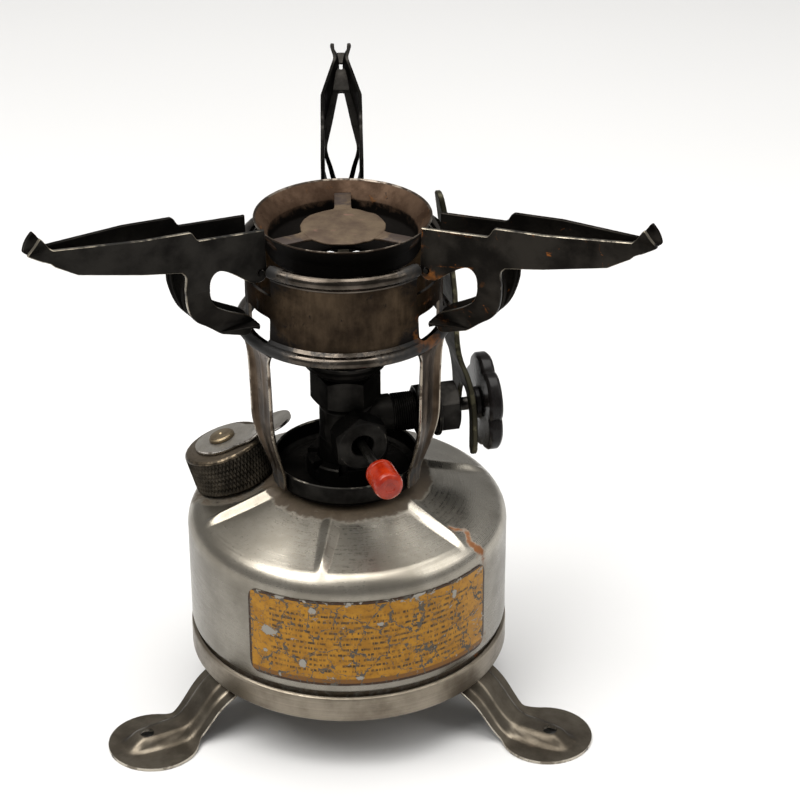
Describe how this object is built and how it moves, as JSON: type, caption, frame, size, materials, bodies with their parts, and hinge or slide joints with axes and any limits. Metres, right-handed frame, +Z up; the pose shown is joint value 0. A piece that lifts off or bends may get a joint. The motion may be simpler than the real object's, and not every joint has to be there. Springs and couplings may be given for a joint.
{
  "type": "camp stove",
  "caption": "Single-burner liquid-fuel camp stove with a round tank, folding feet, hand pump, valve knob and fold-out pot supports.",
  "frame": {"origin": "middle of the footprint on the surface that the feet stand on", "axes": "+Z up along the burner's axis; +X to the side where the valve knob is; -Y to the printed label; the back foot and support point to +Y"},
  "size_m": [0.1886, 0.1634, 0.1919],
  "materials": {
    "tank_steel": "satin, warm grey, stained",
    "base_steel": "worn satin",
    "foot_steel": "satin",
    "rivet_steel": "satin",
    "label_print": "amber printed foil, cracked",
    "burner_black": "black oxide",
    "heat_brown": "heat tinted, rusted",
    "bowl_tan": "baked oxide",
    "arm_dark": "near black, worn bright edges",
    "brass_inner": "satin",
    "stem_steel": "satin",
    "knob_black": "gloss",
    "cap_red": "gloss orange red",
    "pump_bronze": "dark bronze, knurled",
    "grip_silver": "satin",
    "rivet_tan": "satin",
    "gasket_rubber": "matt",
    "piston_leather": "oiled",
    "spanner_olive": "olive, worn edges"
  },
  "bodies": {
    "base": {"base_dish": "burner_black", "burner_bowl": "bowl_tan", "burner_frame": "heat_brown", "burner_hex_nut": "burner_black", "check_valve": "brass_inner", "cleaner_gland_nut": "burner_black", "cleaning_needle": "stem_steel", "cup_washer": "burner_black", "filler_neck": "base_steel", "flame_spreader": "bowl_tan", "foot_rivet_back": "rivet_steel", "foot_rivet_left": "rivet_steel", "foot_rivet_right": "rivet_steel", "frame_leg_back": "heat_brown", "frame_leg_left": "heat_brown", "frame_leg_right": "heat_brown", "hinge_pin_back": "heat_brown", "hinge_pin_left": "heat_brown", "hinge_pin_right": "heat_brown", "jet_nipple": "brass_inner", "label_plate": "label_print", "mixing_tube": "burner_black", "pickup_tube": "brass_inner", "primer_cup": "burner_black", "pump_barrel": "brass_inner", "ring_nut": "burner_black", "riser_body": "burner_black", "tank_base": "base_steel", "tank_shell": "tank_steel", "valve_gland_nut": "burner_black"},
    "back_support": {"pot_support_back": "arm_dark"},
    "left_support": {"pot_support_left": "arm_dark"},
    "right_support": {"pot_support_right": "arm_dark"},
    "back_foot": {"foot_back": "foot_steel"},
    "left_foot": {"foot_left": "foot_steel"},
    "right_foot": {"foot_right": "foot_steel"},
    "valve_control": {"control_knob": "knob_black", "valve_stem": "stem_steel", "knob_screw": "stem_steel"},
    "cleaner_control": {"cleaner_lever": "stem_steel", "lever_cap": "cap_red"},
    "plunger": {"pump_grip": "grip_silver", "grip_rivet": "rivet_tan", "pump_rod": "stem_steel", "pump_leather": "piston_leather"},
    "filler_cap": {"pump_cap": "pump_bronze", "cap_gasket": "gasket_rubber"},
    "spanner": {"wrench": "spanner_olive"}
  },
  "joints": [
    {"name": "back_support_lift", "type": "hinge", "parent": "base", "child": "back_support", "pos_m": [0, 0.00807, 0.1646], "axis": [1, 0, 0], "range_deg": [0, 12]},
    {"name": "left_support_lift", "type": "hinge", "parent": "base", "child": "left_support", "pos_m": [-0.02858, -0.04143, 0.1646], "axis": [-0.5, 0.866, 0], "range_deg": [0, 12]},
    {"name": "right_support_lift", "type": "hinge", "parent": "base", "child": "right_support", "pos_m": [0.02858, -0.04143, 0.1646], "axis": [-0.5, -0.866, 0], "range_deg": [0, 12]},
    {"name": "back_foot_swing", "type": "hinge", "parent": "base", "child": "back_foot", "pos_m": [0, 0.01207, 0.0168], "axis": [0, 0, 1], "range_deg": [0, 130]},
    {"name": "left_foot_swing", "type": "hinge", "parent": "base", "child": "left_foot", "pos_m": [-0.03204, -0.04343, 0.0168], "axis": [0, 0, 1], "range_deg": [0, 130]},
    {"name": "right_foot_swing", "type": "hinge", "parent": "base", "child": "right_foot", "pos_m": [0.03204, -0.04343, 0.0168], "axis": [0, 0, 1], "range_deg": [0, 130]},
    {"name": "valve_turn", "type": "hinge", "parent": "base", "child": "valve_control", "pos_m": [0.04393, -0.01519, 0.1012], "axis": [0.9763, 0.2164, 0], "range_deg": [0, 360]},
    {"name": "cleaner_press", "type": "hinge", "parent": "base", "child": "cleaner_control", "pos_m": [0.00351, -0.03641, 0.1005], "axis": [0.9563, 0.2924, 0], "range_deg": [0, 8]},
    {"name": "pump_stroke", "type": "slide", "parent": "base", "child": "plunger", "axis": [-0.2974, 0.0632, 0.9527], "range_m": [0, 0.02]},
    {"name": "cap_turn", "type": "hinge", "parent": "base", "child": "filler_cap", "pos_m": [-0.03639, -0.0172, 0.0753], "axis": [-0.2974, 0.0632, 0.9527], "range_deg": [0, 360]},
    {"name": "spanner_lift", "type": "slide", "parent": "base", "child": "spanner", "axis": [0, 0, 1], "range_m": [0, 0.02]}
  ]
}
